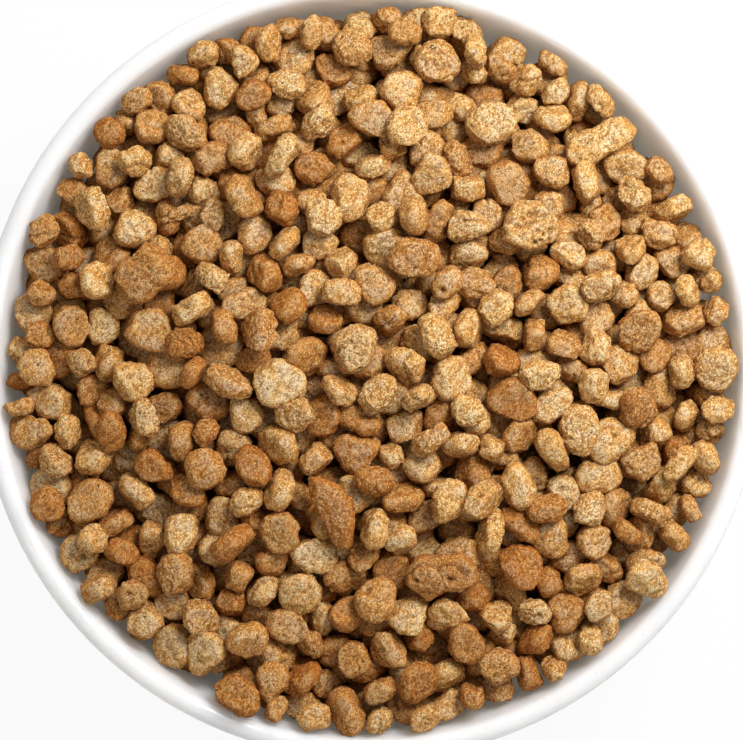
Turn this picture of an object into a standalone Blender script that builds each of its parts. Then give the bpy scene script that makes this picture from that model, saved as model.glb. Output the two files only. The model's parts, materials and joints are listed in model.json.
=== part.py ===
"""A white ceramic bowl heaped with dry pet food.

The bowl is one turned piece: a flat floor, a wall that curves up from it, a round lip and a
foot ring. The food is several hundred nuggets, poured one after another until they heap over
the lip. The nuggets on top are loose pieces of their own. Those below and around them are
fused into one bed, which fills the bowl and shows a nugget's back wherever one looks out.
"""

import itertools
import math
import random
from dataclasses import dataclass, replace

import bmesh
import bpy
import numpy as np
from mathutils import Matrix, Vector

# Driving dimensions of the bowl, in metres
BOWL_DIAMETER = 0.180
BOWL_HEIGHT = 0.060
WALL = 0.0048
WALL_LEAN = math.radians(14)
FLOOR = 0.0050
FLOOR_RADIUS = 0.034
FLOOR_CURVE = 0.036
WALL_CURVE = 0.030
FOOT_DIAMETER = 0.104
FOOT_WIDTH = 0.0050
FOOT_HEIGHT = 0.0028
FOOT_ROUND = 0.0010

# Driving dimensions of the food
NUGGET_DIAMETER = 0.0100
NUGGET_THICKNESS = 0.0060
CROWN_RISE = 0.0095
EDGE_DROP = 0.0045
LOOSE_COUNT = 46
GAP = 0.00035
MOUND_GAP = 0.0008

# How the ordinary nuggets vary, as shares of those sizes
SIZE_SPREAD = 0.12
SIZE_LIMITS = (0.66, 1.22)
WIDTHS = (0.70, 0.95)
THICKNESSES = (0.82, 1.16)
OVAL_LOBE = 0.04
CORNER_LOBE = 0.08
CUT_SHARE = 0.26
TAPERED_SHARE = 0.20
BENT_SHARE = 0.12
CUT_RISE = 0.6
CUT_FROM = 0.70
TAPERS = (0.15, 0.30)
BENDS = (0.15, 0.35)

# What a form's numbers act on
SHOULDERS = (1.9, 2.9)
WAIST_LENGTH = 0.38
BEND_MIDDLE = 0.4
THINNING = 0.6
CUT_FLATNESS = 0.94

# How the heap is poured
SEED = 20
CELL = 0.0005
POURED_DEPTH = 0.0130
HALF_POURED_DEPTH = 0.0060
POURED_TO_DEPTH = 0.0026
TURNS_TRIED = 4
SPOTS_TRIED = 220
SETTLING_MOVES = 14
SETTLING_TURN = math.radians(14)
SETTLING_CELLS = 2
TILT_SPREAD = math.radians(60)
LEANS = (0.0, math.radians(7), math.radians(14))
LEAN_WAYS = 8
STEEPEST = 0.03
PUSHED_IN = 0.0012
BED_TOP_DEPTH = 0.0045
SEEN_IN_BED = 0.40
SEEN_LOOSE = 0.96

# Fineness
BOWL_SEGMENTS = 64
BED_SEGMENTS = 32
WALL_STEPS = 7
DOME_STEPS = 6
LIP_STEPS = 6
COARSE = 1
FINE = 2
BED_VOXEL = 0.0007
BED_FACES_KEPT = 0.0064
OUTSET = {COARSE: 1.10, FINE: 1.03}

MOUTH_RADIUS = BOWL_DIAMETER / 2 - WALL
FLOOR_LEVEL = FOOT_HEIGHT + FLOOR
OUT_OF_REACH = 1.0

GLAZE = (0.86, 0.85, 0.83)
GLAZE_ROUGHNESS = 0.25
BED_BROWN = (0.20, 0.11, 0.05)
CRUST_ROUGHNESS = 0.9
KIBBLE_TONES = ((0.42, 0.25, 0.11), (0.36, 0.20, 0.085), (0.30, 0.165, 0.07), (0.47, 0.29, 0.13))


def empty_the_scene():
    for thing in list(bpy.data.objects):
        bpy.data.objects.remove(thing, do_unlink=True)


def new_collection(name):
    collection = bpy.data.collections.new(name)
    bpy.context.scene.collection.children.link(collection)
    return collection


def new_object(name, mesh, collection):
    thing = bpy.data.objects.new(name, mesh)
    collection.objects.link(thing)
    return thing


def plain_material(name, colour, roughness):
    material = bpy.data.materials.new(name)
    material.use_nodes = True
    shader = material.node_tree.nodes["Principled BSDF"]
    shader.inputs["Base Color"].default_value = (*colour, 1.0)
    shader.inputs["Roughness"].default_value = roughness
    shader.inputs["Metallic"].default_value = 0.0
    return material


# The bowl


def wall_point(t, offset):
    """A point (radius, height) of the wall's inner face, moved by offset towards the inside.

    The face is a cubic curve. It leaves the floor level and ends just under the lip, leaning
    outwards by WALL_LEAN.
    """
    top = (
        BOWL_DIAMETER / 2 - WALL / 2 * (1 + math.cos(WALL_LEAN)),
        BOWL_HEIGHT - WALL / 2 * (1 - math.sin(WALL_LEAN)),
    )
    handles = (
        (FLOOR_RADIUS, FLOOR_LEVEL),
        (FLOOR_RADIUS + FLOOR_CURVE, FLOOR_LEVEL),
        (top[0] - WALL_CURVE * math.sin(WALL_LEAN), top[1] - WALL_CURVE * math.cos(WALL_LEAN)),
        top,
    )
    weights = ((1 - t) ** 3, 3 * t * (1 - t) ** 2, 3 * t**2 * (1 - t), t**3)
    slopes = (-3 * (1 - t) ** 2, 3 * (1 - t) * (1 - 3 * t), 3 * t * (2 - 3 * t), 3 * t**2)
    radius, height = (sum(w * p[i] for w, p in zip(weights, handles)) for i in (0, 1))
    along, up = (sum(w * p[i] for w, p in zip(slopes, handles)) for i in (0, 1))
    length = math.hypot(along, up)
    return radius - offset * up / length, height + offset * along / length


def wall_face(offset):
    """The wall's face from the floor to the lip, as a list of (radius, height)."""
    return [wall_point(step / WALL_STEPS, offset) for step in range(WALL_STEPS + 1)]


def lip_arc():
    """The half circle over the lip, from the inner face to the outer one, without its ends."""
    inner = wall_point(1.0, 0.0)
    outer = wall_point(1.0, -WALL)
    centre = ((inner[0] + outer[0]) / 2, (inner[1] + outer[1]) / 2)
    first = math.pi - WALL_LEAN
    turns = (first - math.pi * step / LIP_STEPS for step in range(1, LIP_STEPS))
    return [(centre[0] + WALL / 2 * math.cos(a), centre[1] + WALL / 2 * math.sin(a)) for a in turns]


def foot_outline(outer_face):
    """The foot ring and the shallow recess inside it, from the outer face to the axis."""
    outside = FOOT_DIAMETER / 2
    inside = outside - FOOT_WIDTH
    radii, heights = zip(*sorted(outer_face))
    return [
        (outside, float(np.interp(outside, radii, heights))),
        (outside, FOOT_ROUND),
        (outside - FOOT_ROUND, 0.0),
        (inside + FOOT_ROUND, 0.0),
        (inside, FOOT_ROUND),
        (inside - FOOT_ROUND, FOOT_HEIGHT),
        (0.0, FOOT_HEIGHT),
    ]


def turned_object(name, profile, collection, segments):
    """Turns a profile of (radius, height) about Z. Its outer side runs from top to bottom."""
    mesh = bpy.data.meshes.new(name)
    points = [(radius, 0.0, height) for radius, height in profile]
    mesh.from_pydata(points, [(i, i + 1) for i in range(len(points) - 1)], [])
    thing = new_object(name, mesh, collection)
    screw = thing.modifiers.new("turn", "SCREW")
    screw.axis = "Z"
    screw.angle = math.tau
    screw.steps = segments
    screw.render_steps = segments
    screw.use_merge_vertices = True
    screw.merge_threshold = 0.00001
    screw.use_smooth_shade = True
    return thing


def build_bowl(collection):
    outer = wall_face(-WALL)
    above_foot = [point for point in reversed(outer) if point[0] > FOOT_DIAMETER / 2 + FOOT_ROUND]
    profile = [(0.0, FLOOR_LEVEL), *wall_face(0.0), *lip_arc(), *above_foot, *foot_outline(outer)]
    bowl = turned_object("bowl", profile, collection, BOWL_SEGMENTS)
    bowl.data.materials.append(plain_material("white glaze", GLAZE, GLAZE_ROUGHNESS))
    return bowl


# A nugget's form


@dataclass(frozen=True)
class Form:
    """A nugget about its own centre: half sizes along X, Y and Z, and what makes it uneven."""

    half: tuple
    lobes: tuple = ()
    taper: float = 0.0
    waist: float = 0.0
    bend: float = 0.0
    cuts: tuple = ()
    shoulder: float = 2.4


def sphere_directions(subdivisions):
    """The corners of a ball with a radius of 1, as rows."""
    ball = bmesh.new()
    bmesh.ops.create_icosphere(ball, subdivisions=subdivisions, radius=1.0)
    rows = np.array([tuple(corner.co) for corner in ball.verts])
    ball.free()
    return rows


def shaped(form, rows):
    """Moves the directions in rows out to the nugget's surface.

    A nugget is a lens with full shoulders, so the sum of its powers has an exponent over 2.
    Lobes make the outline uneven. A taper, a waist and a bend act along X, and a cut planes
    one side flat.
    """
    x, y, z = rows.T
    around = np.arctan2(y, x)
    outline = 1.0 + sum(size * np.cos(count * around + phase) for count, size, phase in form.lobes)
    across = ((x / form.half[0]) ** 2 + (y / form.half[1]) ** 2) / outline**2
    power = form.shoulder
    reach = (across ** (power / 2) + np.abs(z / form.half[2]) ** power) ** (-1 / power)
    x, y, z = x * reach, y * reach, z * reach
    along = x / form.half[0]
    waist = form.waist * np.exp(-((along / WAIST_LENGTH) ** 2))
    slimmer = (1.0 - form.taper * along) * (1.0 - waist)
    y = y * slimmer + form.bend * form.half[1] * (BEND_MIDDLE - along**2)
    z = z * (1.0 - THINNING * (1.0 - slimmer))
    for angle, rise, share in form.cuts:
        way = math.cos(angle) * math.cos(rise), math.sin(angle) * math.cos(rise), math.sin(rise)
        depth = x * way[0] + y * way[1] + z * way[2]
        over = np.maximum(depth - share * form.half[0], 0.0) * CUT_FLATNESS
        x, y, z = x - over * way[0], y - over * way[1], z - over * way[2]
    return np.round(np.stack((x, y, z), axis=1), 8)


def common_form(rng):
    """One of the ordinary nuggets: round, oval, with a cut side or with a tapered end."""
    least, most = SIZE_LIMITS
    size = min(max(1.0 + rng.gauss(0.0, SIZE_SPREAD), least), most)
    half_length = NUGGET_DIAMETER / 2 * size
    half_width = half_length * rng.uniform(*WIDTHS)
    half_thickness = NUGGET_THICKNESS / 2 * rng.uniform(*THICKNESSES)
    oval = 2, OVAL_LOBE, rng.uniform(0, math.tau)
    corners = 3, rng.uniform(0.0, CORNER_LOBE), rng.uniform(0, math.tau)
    half = half_length, half_width, half_thickness
    form = Form(half, (oval, corners), shoulder=rng.uniform(*SHOULDERS))
    kind = rng.random()
    if kind < CUT_SHARE:
        cut = rng.uniform(0, math.tau), rng.uniform(-CUT_RISE, CUT_RISE), CUT_FROM
        form = replace(form, cuts=(cut,))
    elif kind < CUT_SHARE + TAPERED_SHARE:
        form = replace(form, taper=rng.uniform(*TAPERS))
    elif kind < CUT_SHARE + TAPERED_SHARE + BENT_SHARE:
        form = replace(form, bend=rng.uniform(*BENDS))
    return form


# Nuggets that stand out in the heap, each with its place as shares of the mouth's radius, the
# way its length points and its form, whose half sizes are shares of an ordinary nugget's. They
# lie on top, so nothing is poured over them.
STANDING_OUT = (
    ("kibble_on_lip", (-0.35, -0.88), -40, Form((1.14, 0.95, 1.05), ((3, 0.04, 1.0),), taper=0.12)),
    ("kibble_by_lip", (0.935, 0.0), 70, Form((1.10, 1.03, 1.14), ((3, 0.03, 2.0),))),
    ("kibble_twin_1", (0.62, 0.61), 27, Form((1.82, 1.01, 1.14), waist=0.30)),
    ("kibble_twin_2", (-0.60, 0.25), 35, Form((1.54, 1.32, 1.21), waist=0.22)),
    ("kibble_clump", (0.19, -0.55), 10, Form((1.80, 1.19, 1.27), ((3, 0.07, 0.5),), waist=0.24)),
    ("kibble_bent", (-0.10, -0.38), -64, Form((1.89, 0.84, 1.02), bend=0.55)),
    ("kibble_flat", (0.115, 0.295), -5, Form((1.30, 0.95, 0.95), cuts=((0.0, 1.5, 0.40),))),
    ("kibble_round", (0.18, 0.82), 0, Form((1.10, 1.03, 1.17))),
    ("kibble_large", (0.32, 0.655), 15, Form((1.23, 1.10, 1.14), ((3, 0.05, 0.3),))),
    ("kibble_broken", (-0.04, 0.05), 60, Form((1.27, 1.05, 1.11), cuts=((2.6, 0.5, 0.62),))),
    ("kibble_pitted", (0.43, 0.38), 20, Form((1.38, 1.21, 1.21), ((3, 0.06, 1.7),))),
    ("kibble_sliver", (-0.515, 0.41), 15, Form((0.84, 0.33, 0.41), bend=0.6)),
)


def to_size(form):
    """Gives a form of shares its real half sizes."""
    whole = NUGGET_DIAMETER / 2, NUGGET_DIAMETER / 2, NUGGET_THICKNESS / 2
    return replace(form, half=tuple(share * size for share, size in zip(form.half, whole)))


# The heap


class Hull:
    """The convex hull of a nugget: its corners, and a normal and a distance for each face."""

    def __init__(self, rows):
        mesh = bmesh.new()
        for row in rows:
            mesh.verts.new(row)
        bmesh.ops.convex_hull(mesh, input=mesh.verts)
        mesh.normal_update()
        faces = [(tuple(face.normal), face.normal.dot(face.verts[0].co)) for face in mesh.faces]
        mesh.free()
        self.corners = rows
        self.normals = np.array([normal for normal, _ in faces])
        self.distances = np.array([distance for _, distance in faces])


def rotated(rows, matrix):
    """Turns rows of vectors. It is written out, so that it comes out alike on every machine."""
    x, y, z = rows.T
    return np.stack([line[0] * x + line[1] * y + line[2] * z for line in matrix], axis=1)


def dome(radius):
    """The height that the heap is poured up to, at a distance from the axis."""
    share = (radius / MOUTH_RADIUS) ** 2
    return BOWL_HEIGHT - EDGE_DROP + (CROWN_RISE + EDGE_DROP) * (1.0 - share)


class Shadow:
    """What a turned nugget covers on the grid, and how high its underside and its top are there.

    A convex solid's top is the lowest of the planes through its rising faces, and its underside
    is the highest of the planes through its falling ones.
    """

    def __init__(self, hull, matrix, clearance=0.0):
        normals = rotated(hull.normals, matrix)
        distances = hull.distances + clearance
        corners = rotated(hull.corners, matrix)
        reach = np.sqrt(corners[:, 0] ** 2 + corners[:, 1] ** 2).max() + clearance
        self.cells = int(reach / CELL) + 1
        steps = np.arange(-self.cells, self.cells + 1) * CELL
        x, y = steps[None, :, None], steps[None, None, :]
        across, along, up = (normals[:, i, None, None] for i in range(3))
        room = distances[:, None, None] - across * x - along * y
        rising, falling = normals[:, 2] > STEEPEST, normals[:, 2] < -STEEPEST
        upright = ~(rising | falling)
        self.top = (room[rising] / up[rising]).min(axis=0)
        self.underside = (room[falling] / up[falling]).max(axis=0)
        self.covers = self.underside < self.top
        if upright.any():
            self.covers &= room[upright].min(axis=0) > 0.0


@dataclass
class Poured:
    """A nugget in the heap."""

    form: Form
    matrix: tuple
    spot: np.ndarray
    height: float
    shadow: Shadow
    name: str
    rests_on: int

    @property
    def place(self):
        return self.spot[0] * CELL, self.spot[1] * CELL, self.height


class Heap:
    """How high everything poured so far reaches, on a grid of cells seen from above."""

    def __init__(self):
        self.middle = round((BOWL_DIAMETER / 2 + NUGGET_DIAMETER) / CELL)
        steps = np.arange(-self.middle, self.middle + 1) * CELL
        self.radius = np.sqrt(steps[:, None] ** 2 + steps[None, :] ** 2)
        face = [(0.0, FLOOR_LEVEL), *wall_face(GAP), *lip_arc()[: LIP_STEPS // 2]]
        self.bowl = np.interp(self.radius, [p[0] for p in face], [p[1] for p in face])
        self.mouth = self.radius < MOUTH_RADIUS - GAP
        self.dome = dome(self.radius)
        self.height = np.maximum(self.bowl, self.dome - POURED_DEPTH)
        self.spots = np.argwhere(self.radius < MOUTH_RADIUS - NUGGET_THICKNESS / 2) - self.middle
        self.barred = np.where(self.mouth, 0.0, OUT_OF_REACH)
        self.owner = np.full(self.height.shape, -1)
        self.nuggets = []

    def window(self, shadow, spot):
        """The cells around a spot that a shadow lies on."""
        starts = [self.middle + step - shadow.cells for step in spot]
        return tuple(slice(start, start + 2 * shadow.cells + 1) for start in starts)

    def landings(self, shadow, spots):
        """The heights at which a nugget's centre comes to rest when it drops on each spot."""
        cells = np.argwhere(shadow.covers) - shadow.cells + self.middle
        rows = spots[:, :1] + cells[:, 0]
        columns = spots[:, 1:] + cells[:, 1]
        ground = self.height[rows, columns] + self.barred[rows, columns]
        return (ground - shadow.underside[shadow.covers]).max(axis=1)

    def laid_height(self, shadow, spot):
        """The height of a nugget pushed a little into the heap here, but not into the bowl."""
        window = self.window(shadow, spot)
        on_heap, on_bowl = (
            float((ground[window] - shadow.underside)[shadow.covers].max())
            for ground in (self.height, self.bowl)
        )
        return max(on_heap - PUSHED_IN, on_bowl)

    def add(self, form, matrix, shadow, spot, height, name=""):
        window = self.window(shadow, spot)
        room = np.where(shadow.covers, shadow.underside - self.height[window], np.inf)
        rests_on = int(self.owner[window].flat[room.argmin()])
        top = shadow.top + height
        over = shadow.covers & (top > self.height[window])
        self.height[window][over] = top[over]
        self.owner[window][over] = len(self.nuggets)
        self.nuggets.append(Poured(form, matrix, spot, height, shadow, name, rests_on))

    def bar(self, shadow, spot):
        """Keeps off what is poured later."""
        self.barred[self.window(shadow, spot)][shadow.covers] = OUT_OF_REACH

    def stands_apart(self, shadow, spot, height):
        """Whether a loose nugget here would clear the bowl and all that is barred."""
        window = self.window(shadow, spot)
        clears_bowl = (self.bowl[window] - shadow.underside < height)[shadow.covers].all()
        return bool(clears_bowl) and not self.barred[window][shadow.covers].any()

    def depth(self):
        """How far what shows lies below the dome, on average."""
        return float((self.dome - self.height)[self.mouth].mean())

    def seen_share(self, number):
        """The share of a nugget that shows from above."""
        return float((self.owner == number).sum()) / float(self.nuggets[number].shadow.covers.sum())


def turn(spin, tilt, heading):
    """Spins a nugget about its short axis, tilts it, and heads the tilt some way."""
    tilted = Matrix.Rotation(tilt, 3, "Y") @ Matrix.Rotation(spin, 3, "Z")
    matrix = Matrix.Rotation(heading, 3, "Z") @ tilted
    return tuple(tuple(line) for line in matrix)


def nudged(matrix, rng):
    axis = Vector((rng.uniform(-1, 1), rng.uniform(-1, 1), rng.uniform(-1, 1))).normalized()
    moved = Matrix.Rotation(rng.uniform(-SETTLING_TURN, SETTLING_TURN), 3, axis) @ Matrix(matrix)
    return tuple(tuple(line) for line in moved)


def pour(heap, form, rng, directions):
    """Drops a nugget on the lowest of many spots and lets it roll and tilt until it is lower."""
    hull = Hull(shaped(form, directions) * OUTSET[COARSE])
    tilt = abs(rng.gauss(0.0, TILT_SPREAD))
    best = None
    for _ in range(TURNS_TRIED):
        matrix = turn(rng.uniform(0, math.tau), tilt, rng.uniform(0, math.tau))
        shadow = Shadow(hull, matrix)
        spots = heap.spots[rng.sample(range(len(heap.spots)), SPOTS_TRIED)]
        heights = heap.landings(shadow, spots)
        above = heights - dome(np.sqrt((spots**2).sum(axis=1)) * CELL)
        pick = int(above.argmin())
        if best is None or above[pick] < best[0]:
            best = above[pick], matrix, shadow, spots[pick], float(heights[pick])
    _, matrix, shadow, spot, height = best
    for _ in range(SETTLING_MOVES):
        moved = nudged(matrix, rng)
        tried = Shadow(hull, moved)
        aside = spot + [rng.randint(-SETTLING_CELLS, SETTLING_CELLS) for _ in range(2)]
        lower = float(heap.landings(tried, aside[None])[0])
        if lower < height:
            matrix, shadow, spot, height = moved, tried, aside, lower
    heap.add(form, matrix, shadow, spot, height)


def lay(heap, name, shares, heading, form):
    """Lays a nugget that stands out at its place, leaning a little if it lies lower so."""
    hull = Hull(shaped(form, sphere_directions(FINE)) * OUTSET[FINE])
    spot = np.array([round(share * MOUTH_RADIUS / CELL) for share in shares])
    best = None
    for lean, step in itertools.product(LEANS, range(LEAN_WAYS)):
        way = step * math.tau / LEAN_WAYS
        matrix = turn(math.radians(heading) - way, lean, way)
        height = heap.laid_height(Shadow(hull, matrix, GAP), spot)
        if best is None or height < best[0]:
            best = height, matrix
    height, matrix = best
    heap.add(form, matrix, Shadow(hull, matrix), spot, height, name)
    heap.bar(Shadow(hull, matrix, GAP), spot)


def poured_heap():
    """Pours the whole heap, with the nuggets that stand out laid on it half-way."""
    rng = random.Random(SEED)
    directions = sphere_directions(COARSE)
    heap = Heap()
    while heap.depth() > HALF_POURED_DEPTH:
        pour(heap, common_form(rng), rng, directions)
    for name, shares, heading, form in STANDING_OUT:
        lay(heap, name, shares, heading, to_size(form))
    while heap.depth() > POURED_TO_DEPTH:
        pour(heap, common_form(rng), rng, directions)
    return heap


def pick_loose_nuggets(heap):
    """Names the loose nuggets: the last poured that show whole and touch no other loose one."""
    directions = sphere_directions(FINE)
    count = 0
    for number in reversed(range(len(heap.nuggets))):
        nugget = heap.nuggets[number]
        if nugget.name or count == LOOSE_COUNT or heap.seen_share(number) < SEEN_LOOSE:
            continue
        hull = Hull(shaped(nugget.form, directions) * OUTSET[FINE])
        shadow = Shadow(hull, nugget.matrix, 2 * GAP)
        if heap.stands_apart(shadow, nugget.spot, nugget.height):
            heap.bar(shadow, nugget.spot)
            count += 1
            nugget.name = f"kibble_{count:02d}"


# The food's solids


def placed(rows, nugget):
    return rotated(rows, nugget.matrix) + np.array(nugget.place)


def add_hull(mesh, rows):
    corners = [mesh.verts.new(row) for row in rows]
    made = bmesh.ops.convex_hull(mesh, input=corners)
    spare = {item for item in made["geom_interior"] if isinstance(item, bmesh.types.BMVert)}
    bmesh.ops.delete(mesh, geom=list(spare), context="VERTS")


def object_from(mesh, name, collection):
    """Ends a bmesh and makes an object of it."""
    data = bpy.data.meshes.new(name)
    mesh.to_mesh(data)
    mesh.free()
    return new_object(name, data, collection)


def hide_as_cutter(thing):
    thing.hide_render = True
    thing.display_type = "WIRE"
    return thing


def mound(cutters):
    """The food's mass as one turned solid. Its top lies under the backs of the topmost nuggets."""
    radii = [MOUTH_RADIUS * step / DOME_STEPS for step in range(DOME_STEPS)]
    top = [(radius, dome(radius) - BED_TOP_DEPTH) for radius in radii]
    walls = [p for p in reversed(wall_face(MOUND_GAP)) if p[1] < dome(p[0]) - BED_TOP_DEPTH]
    profile = [*top, *walls, (0.0, FLOOR_LEVEL + MOUND_GAP)]
    return hide_as_cutter(turned_object("mound", profile, cutters, BOWL_SEGMENTS))


def inside_of_the_bowl(cutters):
    """The room in the bowl, GAP clear of its wall and open upwards past the heap."""
    sky = BOWL_HEIGHT + CROWN_RISE + POURED_DEPTH
    wall = wall_face(GAP)
    profile = [(0.0, sky), (wall[-1][0], sky), *reversed(wall), (0.0, FLOOR_LEVEL + GAP)]
    return hide_as_cutter(turned_object("inside_of_the_bowl", profile, cutters, BED_SEGMENTS))


def add_backs(mesh, heap):
    """Adds the nuggets that show in the bed, and those that carry a loose one.

    Each is drawn out straight down into the mound, so that it leaves no hollow under it.
    """
    directions = sphere_directions(FINE)
    root = np.array((0.0, 0.0, -POURED_DEPTH))
    carrying = {nugget.rests_on for nugget in heap.nuggets if nugget.name}
    for number, nugget in enumerate(heap.nuggets):
        if not nugget.name and (number in carrying or heap.seen_share(number) > SEEN_IN_BED):
            rows = placed(shaped(nugget.form, directions) * OUTSET[FINE], nugget)
            add_hull(mesh, np.concatenate((rows, rows + root)))


def seats(heap, cutters):
    """The room that each loose nugget takes in the bed, GAP wider than it and open upwards."""
    directions = sphere_directions(FINE)
    upwards = np.array((0.0, 0.0, POURED_DEPTH))
    mesh = bmesh.new()
    for nugget in heap.nuggets:
        if nugget.name:
            wider = replace(nugget.form, half=tuple(half + GAP for half in nugget.form.half))
            rows = placed(shaped(wider, directions) * OUTSET[FINE], nugget)
            add_hull(mesh, np.concatenate((rows, rows + upwards)))
    return hide_as_cutter(object_from(mesh, "seats", cutters))


def combine(thing, operation, other):
    modifier = thing.modifiers.new(operation.lower(), "BOOLEAN")
    modifier.operation = operation
    modifier.solver = "EXACT"
    modifier.use_self = True
    modifier.object = other


def build_bed(heap, collection, cutters):
    """The food below and around the loose nuggets: a mound with the backs of nuggets in it."""
    turned = mound(cutters).evaluated_get(bpy.context.evaluated_depsgraph_get())
    mesh = bmesh.new()
    mesh.from_mesh(bpy.data.meshes.new_from_object(turned))
    add_backs(mesh, heap)
    bed = object_from(mesh, "kibble_bed", collection)
    fused = bed.modifiers.new("fused", "REMESH")
    fused.mode = "VOXEL"
    fused.voxel_size = BED_VOXEL
    simpler = bed.modifiers.new("fewer faces", "DECIMATE")
    simpler.ratio = BED_FACES_KEPT
    combine(bed, "INTERSECT", inside_of_the_bowl(cutters))
    combine(bed, "DIFFERENCE", seats(heap, cutters))
    bed.data.materials.append(plain_material("kibble bed", BED_BROWN, CRUST_ROUGHNESS))
    return bed


def build_loose_nuggets(heap, collection):
    loose = sorted((nugget for nugget in heap.nuggets if nugget.name), key=lambda nugget: nugget.name)
    for nugget, tone in zip(loose, itertools.cycle(KIBBLE_TONES)):
        mesh = bmesh.new()
        bmesh.ops.create_icosphere(mesh, subdivisions=FINE, radius=1.0)
        rows = shaped(nugget.form, np.array([tuple(corner.co) for corner in mesh.verts]))
        for corner, row in zip(mesh.verts, rows * OUTSET[FINE]):
            corner.co = row
        thing = object_from(mesh, nugget.name, collection)
        thing.data.shade_smooth()
        thing.location = nugget.place
        thing.rotation_euler = Matrix(nugget.matrix).to_euler()
        crust = plain_material(f"{nugget.name} crust", tone, CRUST_ROUGHNESS)
        thing.data.materials.append(crust)


def main():
    empty_the_scene()
    parts = new_collection("bowl of dry pet food")
    cutters = new_collection("cutters")
    heap = poured_heap()
    pick_loose_nuggets(heap)
    build_bowl(parts)
    build_bed(heap, parts, cutters)
    build_loose_nuggets(heap, parts)
    print(f"poured {len(heap.nuggets)} nuggets")


main()
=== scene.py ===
# %% [markdown]
# # A bowl of dry pet food
#
# This lesson makes the looks of a white ceramic bowl heaped with dry pet food, seen from
# straight above. The measured model, or frame, is made already: a bowl, a bed of food that
# fills it, and 58 loose nuggets on top. Here each of them gets the shape and the finish that
# the eye expects. The bowl gets its glaze, and the plain bed becomes hundreds of nuggets.

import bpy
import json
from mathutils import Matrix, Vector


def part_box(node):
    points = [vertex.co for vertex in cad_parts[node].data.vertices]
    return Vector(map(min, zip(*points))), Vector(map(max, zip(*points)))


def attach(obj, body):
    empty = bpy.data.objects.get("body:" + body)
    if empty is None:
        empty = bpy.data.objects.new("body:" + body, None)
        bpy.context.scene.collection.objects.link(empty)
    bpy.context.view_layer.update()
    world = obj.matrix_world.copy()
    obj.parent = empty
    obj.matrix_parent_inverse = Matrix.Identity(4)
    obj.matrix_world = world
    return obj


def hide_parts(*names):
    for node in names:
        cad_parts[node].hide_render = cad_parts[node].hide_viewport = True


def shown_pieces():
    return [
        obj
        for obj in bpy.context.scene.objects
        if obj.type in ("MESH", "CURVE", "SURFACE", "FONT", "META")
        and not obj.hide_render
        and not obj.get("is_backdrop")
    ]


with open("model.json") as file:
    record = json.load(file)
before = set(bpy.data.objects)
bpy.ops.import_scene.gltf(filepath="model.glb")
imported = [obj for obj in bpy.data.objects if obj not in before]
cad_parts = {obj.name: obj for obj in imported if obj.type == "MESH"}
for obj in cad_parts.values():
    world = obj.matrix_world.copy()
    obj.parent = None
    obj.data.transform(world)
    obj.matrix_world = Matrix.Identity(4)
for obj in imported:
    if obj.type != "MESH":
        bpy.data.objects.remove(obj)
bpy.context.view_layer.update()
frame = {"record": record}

# %% Load what the lesson needs
import itertools
import json
import math
import random
from collections import defaultdict
from dataclasses import dataclass, replace

import bmesh
import bpy
import numpy as np
from mathutils import Matrix, Vector, noise

# %% [markdown]
# ## The camera and the light
#
# The camera looks straight down from three quarters of a metre above the rim, which is far
# enough to keep the rim round. The lens is long, so that the mouth of the bowl fills the
# picture and the rim is cropped on all four sides. The picture is 743 pixels wide, and one
# pixel is 0.229 mm at the height of the rim.

# %% The camera
PICTURE_WIDTH = 743
PIXEL = 0.000229
CAMERA_HEIGHT = 0.75
LIP_HEIGHT = 0.060
SENSOR_WIDTH = 36.0
OFF_CENTRE = (1.5 * PIXEL, -2.0 * PIXEL)


def new_object(name, data):
    """Puts an object in the scene, at the origin."""
    made = bpy.data.objects.new(name, data)
    bpy.context.scene.collection.objects.link(made)
    return made


scene = bpy.context.scene
scene.view_settings.view_transform = "Standard"
camera = new_object("camera", bpy.data.cameras.new("camera"))
camera.data.sensor_width = SENSOR_WIDTH
camera.data.lens = SENSOR_WIDTH * CAMERA_HEIGHT / (PICTURE_WIDTH * PIXEL)
camera.location = (*OFF_CENTRE, LIP_HEIGHT + CAMERA_HEIGHT)
scene.camera = camera
print(f"lens {camera.data.lens:.0f} mm")

# %% [markdown]
# The light is soft and comes from the top right of the picture. One big square lamp gives the
# bright backs of the nuggets and the soft dark gaps below and to the left of them. The world
# is a white tent. It is brightest near the horizon, which lights the bowl's steep inner wall
# and leaves the gaps between the nuggets dark, since they only see the part overhead.
#
# The world is a tree of nodes, and so is every material. Helpers add a node and connect its
# sockets in one line, which keeps the trees short enough to read. A value that is itself a
# socket is linked, and a plain number or colour is set on the socket.

# %% Helpers for node trees
WHITE = (1.0, 1.0, 1.0, 1.0)


def connect(tree, made, inputs):
    """Links the inputs that are given a socket, and sets those that are given a value."""
    for key, value in inputs.items():
        socket = made.inputs[key]
        if isinstance(value, bpy.types.NodeSocket):
            tree.links.new(value, socket)
        else:
            socket.default_value = value


def wire(tree, kind, inputs, **settings):
    """Adds a node with its settings, and connects its inputs."""
    made = tree.nodes.new("ShaderNode" + kind)
    for key, value in settings.items():
        setattr(made, key, value)
    connect(tree, made, inputs)
    return made


def spread(tree, value, low, high):
    """Spreads a value from 0 to 1 evenly from low to high."""
    limits = {"Value": value, "To Min": low, "To Max": high}
    return wire(tree, "MapRange", limits).outputs["Result"]


print("helpers ready")

# %% The lamp and the world
KEY_PLACE = (0.22, 0.255, 0.425)
KEY_SIZE = 0.22
KEY_POWER = 3.15
HORIZON_STRENGTH = 0.95
OVERHEAD_STRENGTH = 0.20

key = new_object("key", bpy.data.lights.new("key", "AREA"))
key.data.size = KEY_SIZE
key.data.energy = KEY_POWER
key.location = KEY_PLACE
backwards = Vector(KEY_PLACE) - Vector((0.0, 0.0, LIP_HEIGHT))
key.rotation_euler = backwards.to_track_quat("Z", "Y").to_euler()

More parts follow.
